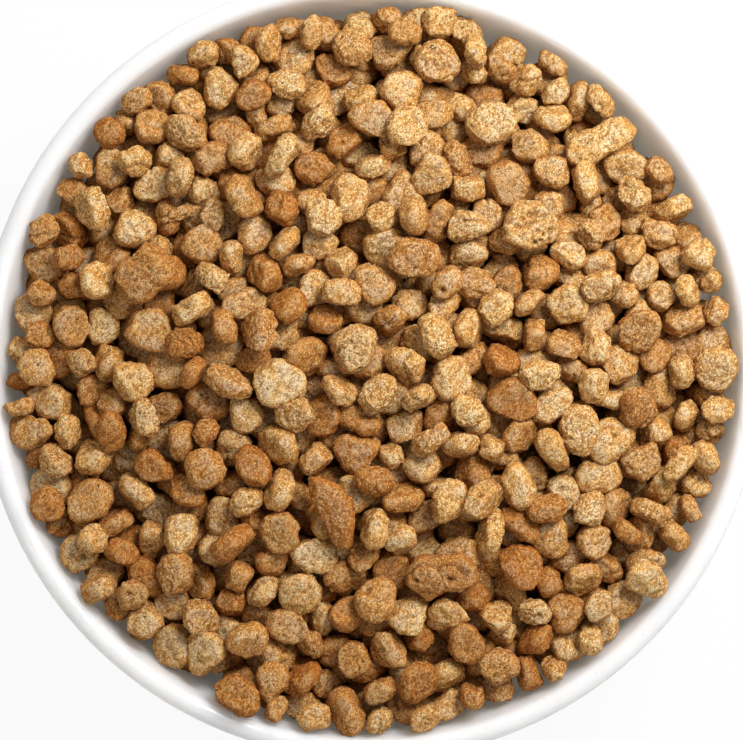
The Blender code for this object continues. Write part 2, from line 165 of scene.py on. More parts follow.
world = bpy.data.worlds.new("white tent")
world.use_nodes = True
scene.world = world
tent = world.node_tree
direction = wire(tent, "TexCoord", {}).outputs["Generated"]
height = wire(tent, "SeparateXYZ", {"Vector": direction}).outputs["Z"]
strength = spread(tent, height, HORIZON_STRENGTH, OVERHEAD_STRENGTH)
connect(tent, tent.nodes["Background"], {"Color": WHITE, "Strength": strength})
print("one lamp and a white tent")

# %% [markdown]
# ## The floor
#
# The bowl stands on a plain white table. To the camera the floor is nearly pure white, as the
# photograph's ground is, yet a share of it stays an ordinary lit surface, so that it keeps the
# bowl's soft shadow.

# %% The floor
FLOOR_SIZE = 3.0
FLOOR_GREY = (0.50, 0.50, 0.50, 1.0)
FLOOR_ROUGHNESS = 0.6
FLOOR_WHITENING = 0.88
FLOOR_GLOW = 1.05


def finished(mesh, name):
    """Ends a bmesh as a smooth-shaded object."""
    made = new_object(name, bpy.data.meshes.new(name))
    mesh.to_mesh(made.data)
    mesh.free()
    made.data.shade_smooth()
    return made


def new_material(name):
    """A material, its tree and its shader."""
    material = bpy.data.materials.new(name)
    material.use_nodes = True
    return material, material.node_tree, material.node_tree.nodes["Principled BSDF"]


def maths(tree, how, first, second):
    """One step of arithmetic."""
    return wire(tree, "Math", {0: first, 1: second}, operation=how).outputs[0]


mesh = bmesh.new()
bmesh.ops.create_grid(mesh, x_segments=1, y_segments=1, size=FLOOR_SIZE / 2)
floor = finished(mesh, "floor")
floor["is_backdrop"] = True

material, tree, shader = new_material("white table")
connect(tree, shader, {"Base Color": FLOOR_GREY, "Roughness": FLOOR_ROUGHNESS})
ray = wire(tree, "LightPath", {}).outputs
straight = maths(tree, "MAXIMUM", ray["Is Camera Ray"], ray["Is Glossy Ray"])
whitening = maths(tree, "MULTIPLY", straight, FLOOR_WHITENING)
glow = wire(tree, "Emission", {"Color": WHITE, "Strength": FLOOR_GLOW})
mix = wire(tree, "MixShader", {0: whitening, 1: shader.outputs[0], 2: glow.outputs[0]})
connect(tree, tree.nodes["Material Output"], {"Surface": mix.outputs[0]})
floor.data.materials.append(material)
print("floor", FLOOR_SIZE, "m wide")

# %% [markdown]
# ## The bowl
#
# The real bowl is thrown or cast in one piece, so its section is one closed line turned about
# the middle. The line runs up a wall that curves out of a flat floor, over a round lip, down
# the outside and round a foot ring. The sizes are the frame's own. A line of many short steps
# and a fine turn make every highlight on the glaze smooth.

# %% The bowl's sizes
BOWL_DIAMETER = 0.180
BOWL_HEIGHT = 0.060
WALL = 0.0048
WALL_LEAN = math.radians(14)
FLOOR = 0.0050
FLOOR_RADIUS = 0.034
FLOOR_CURVE = 0.036
WALL_CURVE = 0.030
FOOT_DIAMETER = 0.104
FOOT_WIDTH = 0.0050
FOOT_HEIGHT = 0.0028
FOOT_ROUND = 0.0010
MOUTH_RADIUS = BOWL_DIAMETER / 2 - WALL
FLOOR_LEVEL = FOOT_HEIGHT + FLOOR


def wall_point(t, offset):
    """A point (radius, height) of the wall's inner face, moved by offset towards the inside."""
    top = (
        BOWL_DIAMETER / 2 - WALL / 2 * (1 + math.cos(WALL_LEAN)),
        BOWL_HEIGHT - WALL / 2 * (1 - math.sin(WALL_LEAN)),
    )
    handles = (
        (FLOOR_RADIUS, FLOOR_LEVEL),
        (FLOOR_RADIUS + FLOOR_CURVE, FLOOR_LEVEL),
        (top[0] - WALL_CURVE * math.sin(WALL_LEAN), top[1] - WALL_CURVE * math.cos(WALL_LEAN)),
        top,
    )
    weights = ((1 - t) ** 3, 3 * t * (1 - t) ** 2, 3 * t**2 * (1 - t), t**3)
    slopes = (-3 * (1 - t) ** 2, 3 * (1 - t) * (1 - 3 * t), 3 * t * (2 - 3 * t), 3 * t**2)
    radius, height = (sum(w * p[i] for w, p in zip(weights, handles)) for i in (0, 1))
    along, up = (sum(w * p[i] for w, p in zip(slopes, handles)) for i in (0, 1))
    length = math.hypot(along, up)
    return radius - offset * up / length, height + offset * along / length


def wall_face(offset, steps):
    """The wall's inner face from the floor to the lip, moved by offset towards the inside."""
    return [wall_point(step / steps, offset) for step in range(steps + 1)]


def on_circle(centre, radius, angle):
    """The point of a circle at an angle."""
    return centre[0] + radius * math.cos(angle), centre[1] + radius * math.sin(angle)


def lip_arc(steps):
    """The half circle over the lip, from the inner face to the outer one, without its ends."""
    inner = wall_point(1.0, 0.0)
    outer = wall_point(1.0, -WALL)
    centre = ((inner[0] + outer[0]) / 2, (inner[1] + outer[1]) / 2)
    first = math.pi - WALL_LEAN
    angles = (first - math.pi * step / steps for step in range(1, steps))
    return [on_circle(centre, WALL / 2, angle) for angle in angles]


print(f"the mouth is {2 * MOUTH_RADIUS * 1000:.0f} mm wide")

# %% [markdown]
# The foot ring's edges are softened by short arcs, because glazed clay has no sharp edge. Then
# the whole line is turned once round with the spin operator. Spin can leave a shape inside
# out, so the doubles are merged and the normals are worked out afresh.

# %% Turn the bowl
WALL_STEPS_FINE = 40
LIP_STEPS_FINE = 16
ARC_STEPS = 4
TURN_STEPS = 160
MERGE_DISTANCE = 0.000001
ORIGIN = (0.0, 0.0, 0.0)
UPWARDS = (0.0, 0.0, 1.0)


def foot_arc(centre, first, last):
    """The arc that softens an edge of the foot ring, with both its ends."""
    angles = (first + (last - first) * step / ARC_STEPS for step in range(ARC_STEPS + 1))
    return [on_circle(centre, FOOT_ROUND, angle) for angle in angles]


def foot_line(outer_face):
    """The foot ring and the shallow recess inside it, from the outer face to the axis."""
    outside = FOOT_DIAMETER / 2
    inside = outside - FOOT_WIDTH
    radii, heights = zip(*sorted(outer_face))
    quarter = math.pi / 2
    return [
        (outside, float(np.interp(outside, radii, heights))),
        *foot_arc((outside - FOOT_ROUND, FOOT_ROUND), 0.0, -quarter),
        *foot_arc((inside + FOOT_ROUND, FOOT_ROUND), -quarter, -2 * quarter),
        (inside - FOOT_ROUND, FOOT_HEIGHT),
        (inside / 2, FOOT_HEIGHT),
    ]


def turned(name, line, steps):
    """Turns a line of (radius, height) about the axis and closes it at both ends."""
    mesh = bmesh.new()
    corners = [mesh.verts.new((radius, 0.0, height)) for radius, height in line]
    for first, second in zip(corners, corners[1:]):
        mesh.edges.new((first, second))
    bmesh.ops.spin(
        mesh, geom=mesh.verts[:] + mesh.edges[:], axis=UPWARDS, cent=ORIGIN, dvec=ORIGIN,
        angle=math.tau, steps=steps, use_merge=True,
    )
    bmesh.ops.remove_doubles(mesh, verts=mesh.verts, dist=MERGE_DISTANCE)
    bmesh.ops.recalc_face_normals(mesh, faces=mesh.faces)
    return finished(mesh, name)


outer = wall_face(-WALL, WALL_STEPS_FINE)
above_foot = [point for point in reversed(outer) if point[0] > FOOT_DIAMETER / 2 + FOOT_ROUND]
line = [
    (0.0, FLOOR_LEVEL), (FLOOR_RADIUS / 2, FLOOR_LEVEL),
    *wall_face(0.0, WALL_STEPS_FINE), *lip_arc(LIP_STEPS_FINE), *above_foot, *foot_line(outer),
    (0.0, FOOT_HEIGHT),
]
bowl = turned("glazed_bowl", line, TURN_STEPS)
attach(bowl, "root")
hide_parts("bowl")
print(f"the bowl has {len(bowl.data.polygons)} faces")

# %% [markdown]
# ## The glaze
#
# White glaze is a thin glassy coat over clay. It is never quite flat: it ripples a little, it
# runs thin over the lip, where the warm clay tints it, and the foot ring is wiped bare so that
# the bowl doesn't stick to the kiln shelf. Each of these is read from Object coordinates. The
# clay below is thin and white, so light sinks in and comes out again a few millimetres away,
# a little warmer. That is subsurface scattering, and it evens the light on the inner wall.
#
# The colours are laid over one another like coats of paint, each where a noise or a height
# says. The noises are wired once, in a node group with named inputs.

# %% Helpers for noise and for layers of colour
SOCKETS = {1: "NodeSocketFloat", 3: "NodeSocketVector", 4: "NodeSocketColor"}
MIX_SOCKETS = {"RGBA": (6, 7, 2), "FLOAT": (2, 3, 0)}


def mixed(tree, share, first, second, kind="RGBA", how="MIX"):
    """What lies a share of the way from the first colour, or number, to the second."""
    low, high, out = MIX_SOCKETS[kind]
    inputs = {0: share, low: first, high: second}
    return wire(tree, "Mix", inputs, data_type=kind, blend_type=how).outputs[out]


def laid_over(tree, colour, layers):
    """Lays colours over one another. A layer is a colour, where it lies, and its share there."""
    for above, where, share in layers:
        colour = mixed(tree, maths(tree, "MULTIPLY", where, share), colour, above)
    return colour


def between(tree, value, low, high):
    """0 below low, 1 above high, and smooth in between. It runs down if low is over high."""
    limits = {"Value": value, "From Min": low, "From Max": high}
    return wire(tree, "MapRange", limits, interpolation_type="SMOOTHSTEP").outputs["Result"]


def noise_value(tree, place, scale, detail, roughness=0.5):
    """Noise from 0 to 1. A higher scale makes it finer."""
    inputs = {"Vector": place, "Scale": scale, "Detail": detail, "Roughness": roughness}
    return wire(tree, "TexNoise", inputs).outputs[0]


def bumped(tree, height, strength, distance):
    """A normal that follows small bumps, as deep as the distance says."""
    inputs = {"Height": height, "Strength": strength, "Distance": distance}
    return wire(tree, "Bump", inputs).outputs[0]


def new_group(name, inputs, outputs):
    """A node group. Each input and output has a value to start with, which tells its type."""
    group = bpy.data.node_groups.new(name, "ShaderNodeTree")
    for side, sockets in (("INPUT", inputs), ("OUTPUT", outputs)):
        for label, value in sockets.items():
            kind = SOCKETS[np.size(value)]
            socket = group.interface.new_socket(name=label, in_out=side, socket_type=kind)
            socket.default_value = value
    given = group.nodes.new("NodeGroupInput").outputs
    return group, given, group.nodes.new("NodeGroupOutput")


print("helpers for", len(SOCKETS), "types of socket")

# %% The glaze's ripple, as a group
CLOUD_SCALE = 0.35
CLOUD_RANGE = (0.35, 0.65)
SPECK_RANGE = (0.77, 0.80)

group, given, result = new_group(
    "glaze ripple",
    {"Place": ORIGIN, "Ripple Size": 0.012, "Speck Size": 0.0009},
    {"Height": 0.0, "Cloud": 0.0, "Speck": 0.0},
)
place = given["Place"]
ripple_scale = maths(group, "DIVIDE", 1.0, given["Ripple Size"])
cloud_scale = maths(group, "MULTIPLY", ripple_scale, CLOUD_SCALE)
speck_scale = maths(group, "DIVIDE", 1.0, given["Speck Size"])
cloud = noise_value(group, place, cloud_scale, detail=3.0)
speck = noise_value(group, place, speck_scale, detail=0.0)
connect(group, result, {
    "Height": noise_value(group, place, ripple_scale, detail=2.0),
    "Cloud": between(group, cloud, *CLOUD_RANGE),
    "Speck": between(group, speck, *SPECK_RANGE),
})
GLAZE_RIPPLE = group
print("group", group.name)

# %% The glaze on the bowl
WHITE_GLAZE = (0.87, 0.87, 0.86, 1.0)
WARM_GLAZE = (0.85, 0.84, 0.82, 1.0)
THIN_GLAZE = (0.85, 0.835, 0.80, 1.0)
BARE_CLAY = (0.62, 0.50, 0.38, 1.0)
SPECK_BROWN = (0.42, 0.34, 0.26, 1.0)
LIP_BAND = 0.0012
BARE_BELOW = 0.0011
BARE_EDGE = 0.0004
GLAZE_ROUGHNESS = 0.16
CLAY_ROUGHNESS = 0.85
RIPPLE_STRENGTH = 0.25
RIPPLE_HEIGHT = 0.0006
GLAZE_IOR = 1.5
LIGHT_DEPTH = 0.010
LIGHT_WARMTH = (1.0, 0.92, 0.80)

material, tree, shader = new_material("white glaze")
place = wire(tree, "TexCoord", {}).outputs["Object"]
ripple = wire(tree, "Group", {"Place": place}, node_tree=GLAZE_RIPPLE).outputs
height = wire(tree, "SeparateXYZ", {"Vector": place}).outputs["Z"]
on_lip = between(tree, height, BOWL_HEIGHT - LIP_BAND, BOWL_HEIGHT)
bare = between(tree, height, BARE_BELOW, BARE_BELOW - BARE_EDGE)
colour = laid_over(tree, WHITE_GLAZE, (
    (WARM_GLAZE, ripple["Cloud"], 0.45),
    (THIN_GLAZE, on_lip, 0.30),
    (SPECK_BROWN, ripple["Speck"], 0.12),
    (BARE_CLAY, bare, 1.0),
))
connect(tree, shader, {
    "Base Color": colour,
    "Roughness": spread(tree, bare, GLAZE_ROUGHNESS, CLAY_ROUGHNESS),
    "Normal": bumped(tree, ripple["Height"], RIPPLE_STRENGTH, RIPPLE_HEIGHT),
    "IOR": GLAZE_IOR,
    "Subsurface Weight": 1.0,
    "Subsurface Scale": LIGHT_DEPTH,
    "Subsurface Radius": LIGHT_WARMTH,
})
bowl.data.materials.append(material)
print("glaze wired")

# %% [markdown]
# ## How a nugget is shaped
#
# Dry food is pushed through a die, cut off by a blade and dried. Each nugget is a fat lens
# about 10 mm long, and no two are alike: some have a flat cut side, some taper, some are bent
# or stuck to a neighbour. One formula gives them all. It takes the directions of a ball's
# corners and says how far out the surface lies. The sizes are the frame's own.

# %% A nugget's form
NUGGET_DIAMETER = 0.0100
NUGGET_THICKNESS = 0.0060
SIZE_SPREAD = 0.12
SIZE_LIMITS = (0.66, 1.22)
WIDTHS = (0.70, 0.95)
THICKNESSES = (0.82, 1.16)
OVAL_LOBE = 0.04
CORNER_LOBE = 0.08
CUT_SHARE = 0.26
TAPERED_SHARE = 0.20
BENT_SHARE = 0.12
CUT_RISE = 0.6
CUT_FROM = 0.70
TAPERS = (0.15, 0.30)
BENDS = (0.15, 0.35)
SHOULDERS = (1.9, 2.9)
WAIST_LENGTH = 0.38
BEND_MIDDLE = 0.4
THINNING = 0.6
CUT_FLATNESS = 0.94
DIGITS = 8


@dataclass(frozen=True)
class Form:
    """A nugget about its own centre: half sizes along X, Y and Z, and what makes it uneven."""

    half: tuple
    lobes: tuple = ()
    taper: float = 0.0
    waist: float = 0.0
    bend: float = 0.0
    cuts: tuple = ()
    shoulder: float = 2.4


def sphere_directions(subdivisions):
    """The corners of a ball with a radius of 1, as rows."""
    ball = bmesh.new()
    bmesh.ops.create_icosphere(ball, subdivisions=subdivisions, radius=1.0)
    rows = np.array([tuple(corner.co) for corner in ball.verts])
    ball.free()
    return rows


def shaped(form, rows):
    """Moves the directions in rows out to the nugget's surface.

    A taper, a waist and a bend act along X, and a cut planes one side flat.
    """
    x, y, z = rows.T
    around = np.arctan2(y, x)
    outline = 1.0 + sum(size * np.cos(count * around + phase) for count, size, phase in form.lobes)
    across = ((x / form.half[0]) ** 2 + (y / form.half[1]) ** 2) / outline**2
    power = form.shoulder
    reach = (across ** (power / 2) + np.abs(z / form.half[2]) ** power) ** (-1 / power)
    x, y, z = x * reach, y * reach, z * reach
    along = x / form.half[0]
    waist = form.waist * np.exp(-((along / WAIST_LENGTH) ** 2))
    slimmer = (1.0 - form.taper * along) * (1.0 - waist)
    y = y * slimmer + form.bend * form.half[1] * (BEND_MIDDLE - along**2)
    z = z * (1.0 - THINNING * (1.0 - slimmer))
    for angle, rise, share in form.cuts:
        way = math.cos(angle) * math.cos(rise), math.sin(angle) * math.cos(rise), math.sin(rise)
        depth = x * way[0] + y * way[1] + z * way[2]
        over = np.maximum(depth - share * form.half[0], 0.0) * CUT_FLATNESS
        x, y, z = x - over * way[0], y - over * way[1], z - over * way[2]
    return np.round(np.stack((x, y, z), axis=1), DIGITS)


def common_form(rng):
    """One of the ordinary nuggets: round, oval, with a cut side or with a tapered end."""
    least, most = SIZE_LIMITS
    size = min(max(1.0 + rng.gauss(0.0, SIZE_SPREAD), least), most)
    half_length = NUGGET_DIAMETER / 2 * size
    half_width = half_length * rng.uniform(*WIDTHS)
    half_thickness = NUGGET_THICKNESS / 2 * rng.uniform(*THICKNESSES)
    oval = 2, OVAL_LOBE, rng.uniform(0, math.tau)
    corners = 3, rng.uniform(0.0, CORNER_LOBE), rng.uniform(0, math.tau)
    half = half_length, half_width, half_thickness
    form = Form(half, (oval, corners), shoulder=rng.uniform(*SHOULDERS))
    kind = rng.random()
    if kind < CUT_SHARE:
        cut = rng.uniform(0, math.tau), rng.uniform(-CUT_RISE, CUT_RISE), CUT_FROM
        form = replace(form, cuts=(cut,))
    elif kind < CUT_SHARE + TAPERED_SHARE:
        form = replace(form, taper=rng.uniform(*TAPERS))
    elif kind < CUT_SHARE + TAPERED_SHARE + BENT_SHARE:
        form = replace(form, bend=rng.uniform(*BENDS))
    return form


# %% [markdown]
# Twelve nuggets catch the eye in the photograph, such as two twins, a clump, a bent one and a
# flat pale one. Each is set down by name, at its place as shares of the mouth's radius, with
# a heading in degrees. Its half sizes are shares of an ordinary nugget's.

# %% The nuggets that stand out
STANDING_OUT = (
    (
        "kibble_on_lip", (-0.35, -0.88), -40,
        Form((1.14, 0.95, 1.05), ((3, 0.04, 1.0),), taper=0.12),
    ),
    ("kibble_by_lip", (0.935, 0.0), 70, Form((1.10, 1.03, 1.14), ((3, 0.03, 2.0),))),
    ("kibble_twin_1", (0.62, 0.61), 27, Form((1.82, 1.01, 1.14), waist=0.30)),
    ("kibble_twin_2", (-0.60, 0.25), 35, Form((1.54, 1.32, 1.21), waist=0.22)),
    ("kibble_clump", (0.19, -0.55), 10, Form((1.80, 1.19, 1.27), ((3, 0.07, 0.5),), waist=0.24)),
    ("kibble_bent", (-0.10, -0.38), -64, Form((1.89, 0.84, 1.02), bend=0.55)),
    ("kibble_flat", (0.115, 0.295), -5, Form((1.30, 0.95, 0.95), cuts=((0.0, 1.5, 0.40),))),
    ("kibble_round", (0.18, 0.82), 0, Form((1.10, 1.03, 1.17))),
    ("kibble_large", (0.32, 0.655), 15, Form((1.23, 1.10, 1.14), ((3, 0.05, 0.3),))),
    ("kibble_broken", (-0.04, 0.05), 60, Form((1.27, 1.05, 1.11), cuts=((2.6, 0.5, 0.62),))),
    ("kibble_pitted", (0.43, 0.38), 20, Form((1.38, 1.21, 1.21), ((3, 0.06, 1.7),))),
    ("kibble_sliver", (-0.515, 0.41), 15, Form((0.84, 0.33, 0.41), bend=0.6)),
)


def to_size(form):
    """Gives a form of shares its real half sizes."""
    whole = NUGGET_DIAMETER / 2, NUGGET_DIAMETER / 2, NUGGET_THICKNESS / 2
    return replace(form, half=tuple(share * size for share, size in zip(form.half, whole)))


# %% [markdown]
# ## Pouring the heap
#
# A real heap forms one nugget at a time: each falls, rolls to a low spot and comes to rest on
# those below. A rigid body simulation could do that, but it takes minutes and never gives the
# same heap twice. Here the heap is a map of heights, seen from above. Each nugget is tried at
# many spots, dropped on the lowest and then rolled a little while that brings it lower. The
# steps and the random numbers are those that made the frame, so each nugget comes to lie
# where the frame has it.

# %% The heap's sizes
CROWN_RISE = 0.0095
EDGE_DROP = 0.0045
LOOSE_COUNT = 46
GAP = 0.00035
SEED = 20
CELL = 0.0005
POURED_DEPTH = 0.0130
HALF_POURED_DEPTH = 0.0060
POURED_TO_DEPTH = 0.0026
TURNS_TRIED = 4
SPOTS_TRIED = 220
SETTLING_MOVES = 14
SETTLING_TURN = math.radians(14)
SETTLING_CELLS = 2
TILT_SPREAD = math.radians(60)
LEANS = (0.0, math.radians(7), math.radians(14))
LEAN_WAYS = 8
STEEPEST = 0.03
PUSHED_IN = 0.0012
SEEN_LOOSE = 0.96
WALL_STEPS = 7
LIP_STEPS = 6
COARSE = 1
FINE = 2
OUTSET = {COARSE: 1.10, FINE: 1.03}
OUT_OF_REACH = 1.0


def rotated(rows, matrix):
    """Turns rows of vectors. It is written out, so that it comes out alike on every machine."""
    x, y, z = rows.T
    return np.stack([line[0] * x + line[1] * y + line[2] * z for line in matrix], axis=1)


def dome(radius):
    """The height that the heap is poured up to, at a distance from the axis."""
    share = (radius / MOUTH_RADIUS) ** 2
    return BOWL_HEIGHT - EDGE_DROP + (CROWN_RISE + EDGE_DROP) * (1.0 - share)


# %% [markdown]
# A nugget's convex hull is a set of planes. The lowest of the planes that face up is its top
# at each cell of the map, and the highest of those that face down is its underside.

# %% A nugget's shadow on the map
class Hull:
    """The convex hull of a nugget: its corners, and a normal and a distance for each face."""

    def __init__(self, rows):
        mesh = bmesh.new()
        for row in rows:
            mesh.verts.new(row)
        bmesh.ops.convex_hull(mesh, input=mesh.verts)
        mesh.normal_update()
        faces = [(tuple(face.normal), face.normal.dot(face.verts[0].co)) for face in mesh.faces]
        mesh.free()
        self.corners = rows
        self.normals = np.array([normal for normal, _ in faces])
        self.distances = np.array([distance for _, distance in faces])


class Shadow:
    """What a turned nugget covers on the map, and how high its underside and its top are."""

    def __init__(self, hull, matrix, clearance=0.0):
        normals = rotated(hull.normals, matrix)
        distances = hull.distances + clearance
        corners = rotated(hull.corners, matrix)
        reach = np.sqrt(corners[:, 0] ** 2 + corners[:, 1] ** 2).max() + clearance
        self.cells = int(reach / CELL) + 1
        steps = np.arange(-self.cells, self.cells + 1) * CELL
        x, y = steps[None, :, None], steps[None, None, :]
        across, along, up = (normals[:, i, None, None] for i in range(3))
        room = distances[:, None, None] - across * x - along * y
        rising, falling = normals[:, 2] > STEEPEST, normals[:, 2] < -STEEPEST
        upright = ~(rising | falling)
        self.top = (room[rising] / up[rising]).min(axis=0)
        self.underside = (room[falling] / up[falling]).max(axis=0)
        self.covers = self.underside < self.top
        if upright.any():
            self.covers &= room[upright].min(axis=0) > 0.0


# %% The heap as a map of heights
@dataclass
class Poured:
    """A nugget in the heap."""

    form: Form
    matrix: tuple
    spot: np.ndarray
    height: float
    shadow: Shadow
    name: str

    @property
    def place(self):
        """Where its centre lies."""
        return self.spot[0] * CELL, self.spot[1] * CELL, self.height


class Heap:
    """How high everything poured so far reaches, on a grid of cells seen from above."""

    def __init__(self):
        self.middle = round((BOWL_DIAMETER / 2 + NUGGET_DIAMETER) / CELL)
        steps = np.arange(-self.middle, self.middle + 1) * CELL
        self.radius = np.sqrt(steps[:, None] ** 2 + steps[None, :] ** 2)
        lip = lip_arc(LIP_STEPS)[: LIP_STEPS // 2]
        radii, heights = zip((0.0, FLOOR_LEVEL), *wall_face(GAP, WALL_STEPS), *lip)
        self.bowl = np.interp(self.radius, radii, heights)
        self.mouth = self.radius < MOUTH_RADIUS - GAP
        self.dome = dome(self.radius)
        self.height = np.maximum(self.bowl, self.dome - POURED_DEPTH)
        self.spots = np.argwhere(self.radius < MOUTH_RADIUS - NUGGET_THICKNESS / 2) - self.middle
        self.barred = np.where(self.mouth, 0.0, OUT_OF_REACH)
        self.owner = np.full(self.height.shape, -1)
        self.nuggets = []

    def window(self, shadow, spot):
        """The cells around a spot that a shadow lies on."""
        starts = [self.middle + step - shadow.cells for step in spot]
        return tuple(slice(start, start + 2 * shadow.cells + 1) for start in starts)

    def landings(self, shadow, spots):
        """The heights at which a nugget's centre comes to rest when it drops on each spot."""
        cells = np.argwhere(shadow.covers) - shadow.cells + self.middle
        rows = spots[:, :1] + cells[:, 0]
        columns = spots[:, 1:] + cells[:, 1]
        ground = self.height[rows, columns] + self.barred[rows, columns]
        return (ground - shadow.underside[shadow.covers]).max(axis=1)

    def laid_height(self, shadow, spot):
        """The height of a nugget pushed a little into the heap here, but not into the bowl."""
        window = self.window(shadow, spot)
        on_heap, on_bowl = (
            float((ground[window] - shadow.underside)[shadow.covers].max())
            for ground in (self.height, self.bowl)
        )
        return max(on_heap - PUSHED_IN, on_bowl)

    def add(self, form, matrix, shadow, spot, height, name=""):
        """Adds a nugget to the list and to the map."""
        window = self.window(shadow, spot)
        top = shadow.top + height
        over = shadow.covers & (top > self.height[window])
        self.height[window][over] = top[over]
        self.owner[window][over] = len(self.nuggets)
        self.nuggets.append(Poured(form, matrix, spot, height, shadow, name))

    def bar(self, shadow, spot):
        """Keeps off what is poured later."""
        self.barred[self.window(shadow, spot)][shadow.covers] = OUT_OF_REACH

    def stands_apart(self, shadow, spot, height):
        """Whether a loose nugget here would clear the bowl and all that is barred."""
        window = self.window(shadow, spot)
        clears_bowl = (self.bowl[window] - shadow.underside < height)[shadow.covers].all()
        return bool(clears_bowl) and not self.barred[window][shadow.covers].any()

    def depth(self):
        """How far what shows lies below the dome, on average."""
        return float((self.dome - self.height)[self.mouth].mean())

    def seen_share(self, number):
        """The share of a nugget that shows from above."""
        shown, whole = self.owner == number, self.nuggets[number].shadow.covers
        return float(shown.sum()) / float(whole.sum())


# %% Dropping, rolling and laying
def turn(spin, tilt, heading):
    """Spins a nugget about its short axis, tilts it, and heads the tilt some way."""
    tilted = Matrix.Rotation(tilt, 3, "Y") @ Matrix.Rotation(spin, 3, "Z")
    matrix = Matrix.Rotation(heading, 3, "Z") @ tilted
    return tuple(tuple(line) for line in matrix)


def nudged(matrix, rng):
    """Turns a nugget a little, about any axis."""
    axis = Vector((rng.uniform(-1, 1), rng.uniform(-1, 1), rng.uniform(-1, 1))).normalized()
    moved = Matrix.Rotation(rng.uniform(-SETTLING_TURN, SETTLING_TURN), 3, axis) @ Matrix(matrix)
    return tuple(tuple(line) for line in moved)


def pour(heap, form, rng, directions):
    """Drops a nugget on the lowest of many spots and lets it roll and tilt until it is lower."""
    hull = Hull(shaped(form, directions) * OUTSET[COARSE])
    tilt = abs(rng.gauss(0.0, TILT_SPREAD))
    best = None
    for _ in range(TURNS_TRIED):
        matrix = turn(rng.uniform(0, math.tau), tilt, rng.uniform(0, math.tau))
        shadow = Shadow(hull, matrix)
        spots = heap.spots[rng.sample(range(len(heap.spots)), SPOTS_TRIED)]
        heights = heap.landings(shadow, spots)
        above = heights - dome(np.sqrt((spots**2).sum(axis=1)) * CELL)
        pick = int(above.argmin())
        if best is None or above[pick] < best[0]:
            best = above[pick], matrix, shadow, spots[pick], float(heights[pick])
    _, matrix, shadow, spot, height = best
    for _ in range(SETTLING_MOVES):
        moved = nudged(matrix, rng)
        tried = Shadow(hull, moved)
        aside = spot + [rng.randint(-SETTLING_CELLS, SETTLING_CELLS) for _ in range(2)]
        lower = float(heap.landings(tried, aside[None])[0])
        if lower < height:
            matrix, shadow, spot, height = moved, tried, aside, lower
    heap.add(form, matrix, shadow, spot, height)


def lay(heap, name, shares, heading, form):
    """Lays a nugget that stands out at its place, leaning a little if it lies lower so."""
    hull = Hull(shaped(form, sphere_directions(FINE)) * OUTSET[FINE])
    spot = np.array([round(share * MOUTH_RADIUS / CELL) for share in shares])
    best = None
    for lean, step in itertools.product(LEANS, range(LEAN_WAYS)):
        way = step * math.tau / LEAN_WAYS
        matrix = turn(math.radians(heading) - way, lean, way)
        height = heap.laid_height(Shadow(hull, matrix, GAP), spot)
        if best is None or height < best[0]:
            best = height, matrix
    height, matrix = best
    heap.add(form, matrix, Shadow(hull, matrix), spot, height, name)
    heap.bar(Shadow(hull, matrix, GAP), spot)


# %% Pour the heap and name the loose nuggets
def poured_heap():
    """Pours the whole heap, with the nuggets that stand out laid on it half-way."""
    rng = random.Random(SEED)
    directions = sphere_directions(COARSE)
    heap = Heap()
    while heap.depth() > HALF_POURED_DEPTH:
        pour(heap, common_form(rng), rng, directions)
    for name, shares, heading, form in STANDING_OUT:
        lay(heap, name, shares, heading, to_size(form))
    while heap.depth() > POURED_TO_DEPTH:
        pour(heap, common_form(rng), rng, directions)
    return heap


def pick_loose_nuggets(heap):
    """Names the loose nuggets: the last poured that show whole and touch no other loose one."""
    directions = sphere_directions(FINE)
    count = 0
    for number in reversed(range(len(heap.nuggets))):
        nugget = heap.nuggets[number]
        if nugget.name or count == LOOSE_COUNT or heap.seen_share(number) < SEEN_LOOSE:
            continue
        hull = Hull(shaped(nugget.form, directions) * OUTSET[FINE])
        shadow = Shadow(hull, nugget.matrix, 2 * GAP)
        if heap.stands_apart(shadow, nugget.spot, nugget.height):
            heap.bar(shadow, nugget.spot)
            count += 1
            nugget.name = f"kibble_{count:02d}"


heap = poured_heap()
pick_loose_nuggets(heap)
loose = [nugget for nugget in heap.nuggets if nugget.name]
farthest = 0.0
for nugget in loose:
    low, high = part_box(nugget.name)
    rows = rotated(shaped(nugget.form, sphere_directions(FINE)) * OUTSET[FINE], nugget.matrix)
    middle = (rows.min(axis=0) + rows.max(axis=0)) / 2 + np.array(nugget.place)
    farthest = max(farthest, float(np.abs(middle - np.array((low + high) / 2)).max()))
print(f"poured {len(heap.nuggets)} nuggets, {len(loose)} of them loose")
print(f"no loose nugget lies more than {farthest * 1000:.3f} mm from its place in the frame")

# %% [markdown]
# The frame's bed is one solid, which leaves a narrow trough along the wall. In the photograph
# smaller nuggets have rolled into it. They are poured last, only along the wall, and they
# keep off the loose nuggets, whose places are barred.

# %% Fill the trough along the wall
RING_COUNT = 48
RING_FROM = 0.87
RING_SIZE = 0.86

rng = random.Random(SEED + 4)
ring = np.sqrt((heap.spots**2).sum(axis=1)) * CELL > RING_FROM * MOUTH_RADIUS
heap.spots = heap.spots[ring]
for _ in range(RING_COUNT):
    form = common_form(rng)
    form = replace(form, half=tuple(half * RING_SIZE for half in form.half))
    pour(heap, form, rng, sphere_directions(COARSE))
print(f"{RING_COUNT} more along the wall")

# %% [markdown]
# ## Crumbly skins
#
# So far each nugget is as smooth as a pebble. A real one is baked dough: it has two flat cut
# faces, soft flats where it was squeezed, round lumps a few millimetres across, and a skin of
# crumbs. The flats are planed off the smooth shape. The lumps are billowing noise, which has
# sharp creases, and the crumbs are finer, even noise. Both push the skin in and out. They are
# real shape, not only shading, so that the edges look crumbly too. A few nuggets have pits,
# or a crack where they split in the drying.

